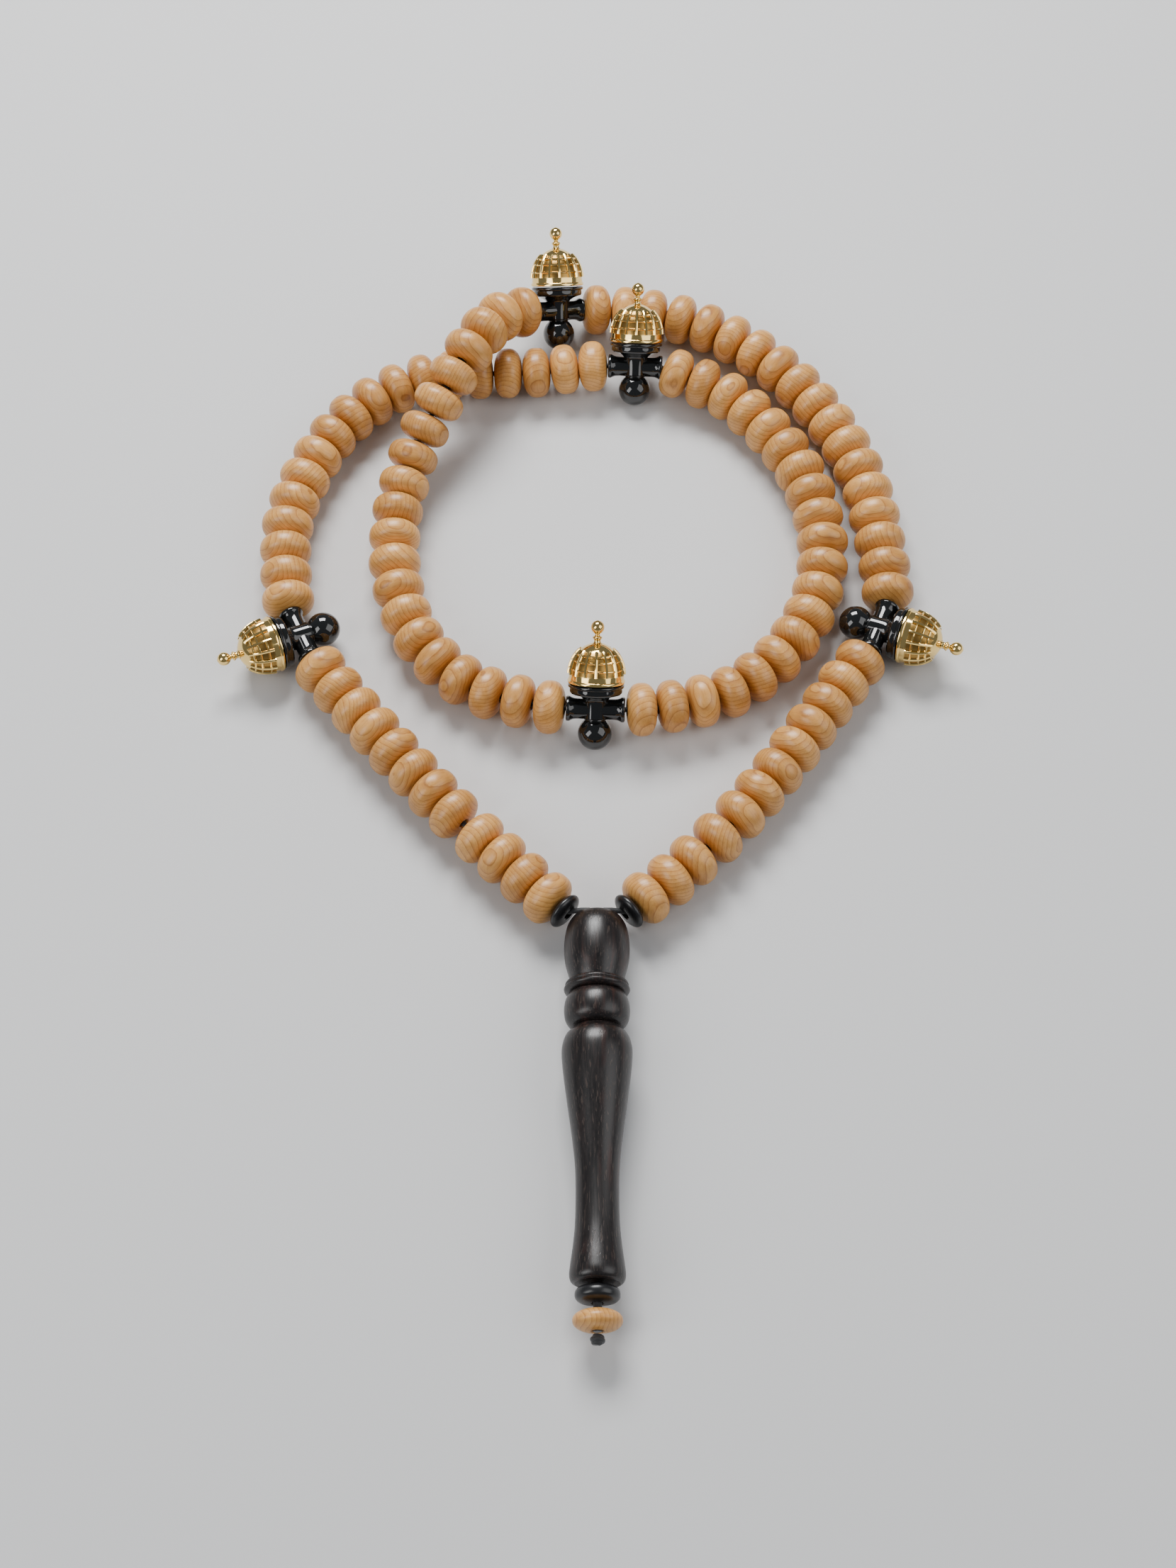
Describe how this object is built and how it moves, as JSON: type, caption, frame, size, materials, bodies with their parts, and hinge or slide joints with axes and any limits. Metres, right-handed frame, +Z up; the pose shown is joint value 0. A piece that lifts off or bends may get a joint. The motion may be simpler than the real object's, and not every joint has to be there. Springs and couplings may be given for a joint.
{
  "type": "misbaha prayer beads",
  "caption": "Loop of wooden prayer beads on a black cord, coiled once, with gilt-domed black markers and a turned ebony handle.",
  "frame": {"origin": "on the surface that the beads lie on, under the middle of the object's box", "axes": "+Z up, +Y from the handle's end across the loop to its far side, +X to the right of someone looking along +Y"},
  "size_m": [0.1709, 0.274, 0.0255],
  "materials": {
    "bead_wood": "satin, orange-brown with dark grain lines",
    "ebony": "satin polish, near-black with red-brown streaks",
    "black_resin": "high gloss black",
    "gold": "polished gilt",
    "black_cord": "matt black braided cord"
  },
  "bodies": {
    "loop": {"cord_loop": "black_cord", "outer_left_run_1": "bead_wood", "outer_left_run_2": "bead_wood", "outer_left_run_3": "bead_wood", "outer_left_run_4": "bead_wood", "inner_right_run_1": "bead_wood", "inner_right_run_2": "bead_wood", "inner_right_run_3": "bead_wood", "inner_right_run_4": "bead_wood", "inner_right_run_5": "bead_wood", "inner_left_run_1": "bead_wood", "inner_left_run_2": "bead_wood", "inner_left_run_3": "bead_wood", "inner_left_run_4": "bead_wood", "inner_left_run_5": "bead_wood", "outer_right_run_1": "bead_wood", "outer_right_run_2": "bead_wood", "outer_right_run_3": "bead_wood", "outer_right_run_4": "bead_wood"},
    "spacer_left": {"spacer_left": "black_resin"},
    "spacer_right": {"spacer_right": "black_resin"},
    "left_bead_01": {"left_bead_01": "bead_wood"},
    "left_bead_02": {"left_bead_02": "bead_wood"},
    "left_bead_03": {"left_bead_03": "bead_wood"},
    "left_bead_04": {"left_bead_04": "bead_wood"},
    "left_bead_05": {"left_bead_05": "bead_wood"},
    "left_bead_06": {"left_bead_06": "bead_wood"},
    "left_bead_07": {"left_bead_07": "bead_wood"},
    "left_bead_08": {"left_bead_08": "bead_wood"},
    "left_bead_09": {"left_bead_09": "bead_wood"},
    "left_bead_10": {"left_bead_10": "bead_wood"},
    "left_bead_11": {"left_bead_11": "bead_wood"},
    "left_bead_12": {"left_bead_12": "bead_wood"},
    "right_bead_01": {"right_bead_01": "bead_wood"},
    "right_bead_02": {"right_bead_02": "bead_wood"},
    "right_bead_03": {"right_bead_03": "bead_wood"},
    "right_bead_04": {"right_bead_04": "bead_wood"},
    "right_bead_05": {"right_bead_05": "bead_wood"},
    "right_bead_06": {"right_bead_06": "bead_wood"},
    "right_bead_07": {"right_bead_07": "bead_wood"},
    "right_bead_08": {"right_bead_08": "bead_wood"},
    "right_bead_09": {"right_bead_09": "bead_wood"},
    "right_bead_10": {"right_bead_10": "bead_wood"},
    "right_bead_11": {"right_bead_11": "bead_wood"},
    "right_bead_12": {"right_bead_12": "bead_wood"},
    "marker_left": {"marker_left_body": "black_resin", "marker_left_cap": "gold"},
    "marker_inner_top": {"marker_inner_top_body": "black_resin", "marker_inner_top_cap": "gold"},
    "marker_bottom": {"marker_bottom_body": "black_resin", "marker_bottom_cap": "gold"},
    "marker_top": {"marker_top_body": "black_resin", "marker_top_cap": "gold"},
    "marker_right": {"marker_right_body": "black_resin", "marker_right_cap": "gold"},
    "tail": {"tail_cord": "black_cord", "end_knot": "black_cord"},
    "handle": {"handle": "ebony"},
    "end_spacer": {"end_spacer": "black_resin"},
    "end_bead": {"end_bead": "bead_wood"}
  },
  "joints": [
    {"name": "spacer_left_spin", "type": "hinge", "parent": "loop", "child": "spacer_left", "pos_m": [-0.00535, -0.0417, 0.00671], "axis": [-0.7261, 0.6857, -0.0503], "continuous": true},
    {"name": "spacer_right_spin", "type": "hinge", "parent": "loop", "child": "spacer_right", "pos_m": [0.00855, -0.0417, 0.00671], "axis": [0.7441, 0.6661, -0.051], "continuous": true},
    {"name": "left_bead_01_spin", "type": "hinge", "parent": "loop", "child": "left_bead_01", "pos_m": [-0.00911, -0.03838, 0.00632], "axis": [-0.7151, 0.6981, -0.0366], "continuous": true},
    {"name": "left_bead_02_spin", "type": "hinge", "parent": "loop", "child": "left_bead_02", "pos_m": [-0.0142, -0.03359, 0.00627], "axis": [-0.7261, 0.6876, 0.0037], "continuous": true},
    {"name": "left_bead_03_spin", "type": "hinge", "parent": "loop", "child": "left_bead_03", "pos_m": [-0.01925, -0.02875, 0.00631], "axis": [-0.7157, 0.6984, 0.0021], "continuous": true},
    {"name": "left_bead_04_slide", "type": "slide", "parent": "loop", "child": "left_bead_04", "axis": [-0.7084, 0.7058, 0], "range_m": [0, 0.0013]},
    {"name": "left_bead_05_spin", "type": "hinge", "parent": "loop", "child": "left_bead_05", "pos_m": [-0.03016, -0.01776, 0.00631], "axis": [-0.6845, 0.729, 0], "continuous": true},
    {"name": "left_bead_06_spin", "type": "hinge", "parent": "loop", "child": "left_bead_06", "pos_m": [-0.03487, -0.01259, 0.00631], "axis": [-0.6656, 0.7463, 0], "continuous": true},
    {"name": "left_bead_07_spin", "type": "hinge", "parent": "loop", "child": "left_bead_07", "pos_m": [-0.03949, -0.00734, 0.00631], "axis": [-0.6558, 0.7549, 0], "continuous": true},
    {"name": "left_bead_08_spin", "type": "hinge", "parent": "loop", "child": "left_bead_08", "pos_m": [-0.04406, -0.00204, 0.00631], "axis": [-0.6513, 0.7589, 0], "continuous": true},
    {"name": "left_bead_09_spin", "type": "hinge", "parent": "loop", "child": "left_bead_09", "pos_m": [-0.04859, 0.00329, 0.00631], "axis": [-0.6426, 0.7662, 0], "continuous": true},
    {"name": "left_bead_10_spin", "type": "hinge", "parent": "loop", "child": "left_bead_10", "pos_m": [-0.05304, 0.00868, 0.00631], "axis": [-0.6322, 0.7748, 0], "continuous": true},
    {"name": "left_bead_11_spin", "type": "hinge", "parent": "loop", "child": "left_bead_11", "pos_m": [-0.05746, 0.0141, 0.00631], "axis": [-0.6294, 0.7771, 0], "continuous": true},
    {"name": "left_bead_12_spin", "type": "hinge", "parent": "loop", "child": "left_bead_12", "pos_m": [-0.06178, 0.0196, 0.00631], "axis": [-0.6005, 0.7996, 0], "continuous": true},
    {"name": "right_bead_01_spin", "type": "hinge", "parent": "loop", "child": "right_bead_01", "pos_m": [0.0123, -0.03837, 0.00632], "axis": [-0.7436, -0.6675, 0.0382], "continuous": true},
    {"name": "right_bead_02_spin", "type": "hinge", "parent": "loop", "child": "right_bead_02", "pos_m": [0.01775, -0.03402, 0.00631], "axis": [-0.7553, -0.6554, -0.0045], "continuous": true},
    {"name": "right_bead_03_spin", "type": "hinge", "parent": "loop", "child": "right_bead_03", "pos_m": [0.02285, -0.02926, 0.00631], "axis": [-0.7213, -0.6926, 0], "continuous": true},
    {"name": "right_bead_04_slide", "type": "slide", "parent": "loop", "child": "right_bead_04", "axis": [-0.6831, -0.7303, 0], "range_m": [-0.0006, 0.0006]},
    {"name": "right_bead_05_spin", "type": "hinge", "parent": "loop", "child": "right_bead_05", "pos_m": [0.03349, -0.01792, 0.00631], "axis": [-0.6473, -0.7622, 0], "continuous": true},
    {"name": "right_bead_06_spin", "type": "hinge", "parent": "loop", "child": "right_bead_06", "pos_m": [0.03792, -0.01253, 0.00631], "axis": [-0.6238, -0.7816, 0], "continuous": true},
    {"name": "right_bead_07_spin", "type": "hinge", "parent": "loop", "child": "right_bead_07", "pos_m": [0.0422, -0.00701, 0.00631], "axis": [-0.6003, -0.7998, 0], "continuous": true},
    {"name": "right_bead_08_spin", "type": "hinge", "parent": "loop", "child": "right_bead_08", "pos_m": [0.0463, -0.00136, 0.00631], "axis": [-0.5765, -0.8171, 0], "continuous": true},
    {"name": "right_bead_09_spin", "type": "hinge", "parent": "loop", "child": "right_bead_09", "pos_m": [0.05029, 0.00436, 0.00631], "axis": [-0.5724, -0.82, 0], "continuous": true},
    {"name": "right_bead_10_spin", "type": "hinge", "parent": "loop", "child": "right_bead_10", "pos_m": [0.05429, 0.01008, 0.00631], "axis": [-0.5689, -0.8224, 0], "continuous": true},
    {"name": "right_bead_11_spin", "type": "hinge", "parent": "loop", "child": "right_bead_11", "pos_m": [0.05825, 0.01583, 0.00631], "axis": [-0.5693, -0.8221, 0], "continuous": true},
    {"name": "right_bead_12_spin", "type": "hinge", "parent": "loop", "child": "right_bead_12", "pos_m": [0.06235, 0.02147, 0.00631], "axis": [-0.6094, -0.7928, 0], "continuous": true},
    {"name": "marker_left_swing", "type": "hinge", "parent": "loop", "child": "marker_left", "pos_m": [-0.0669, 0.0287, 0.00631], "axis": [-0.4226, 0.9063, 0], "range_deg": [0, 100]},
    {"name": "marker_inner_top_swing", "type": "hinge", "parent": "loop", "child": "marker_inner_top", "pos_m": [0.0114, 0.1061, 0.00801], "axis": [0.999, -0.0436, 0], "range_deg": [-2, 75]},
    {"name": "marker_bottom_swing", "type": "hinge", "parent": "loop", "child": "marker_bottom", "pos_m": [0.0014, 0.0082, 0.00791], "axis": [0.9994, -0.0349, 0], "range_deg": [-32, 80]},
    {"name": "marker_top_swing", "type": "hinge", "parent": "loop", "child": "marker_top", "pos_m": [-0.0078, 0.1224, 0.00971], "axis": [0.8743, 0.3444, -0.342], "range_deg": [-30, 75]},
    {"name": "marker_right_swing", "type": "hinge", "parent": "loop", "child": "marker_right", "pos_m": [0.0672, 0.0307, 0.00631], "axis": [-0.3827, -0.9239, 0], "range_deg": [0, 100]},
    {"name": "handle_swing", "type": "hinge", "parent": "loop", "child": "tail", "pos_m": [0.0016, -0.0424, 0.00776], "axis": [0, 0, 1], "range_deg": [-8, 8]},
    {"name": "handle_spin", "type": "hinge", "parent": "tail", "child": "handle", "pos_m": [0.0016, -0.0424, 0.00776], "axis": [0, 1, 0], "continuous": true},
    {"name": "end_spacer_spin", "type": "hinge", "parent": "tail", "child": "end_spacer", "pos_m": [0.0016, -0.0424, 0.00776], "axis": [0, 1, 0], "continuous": true},
    {"name": "end_bead_spin", "type": "hinge", "parent": "tail", "child": "end_bead", "pos_m": [0.0016, -0.0424, 0.00776], "axis": [0, 1, 0], "continuous": true}
  ]
}
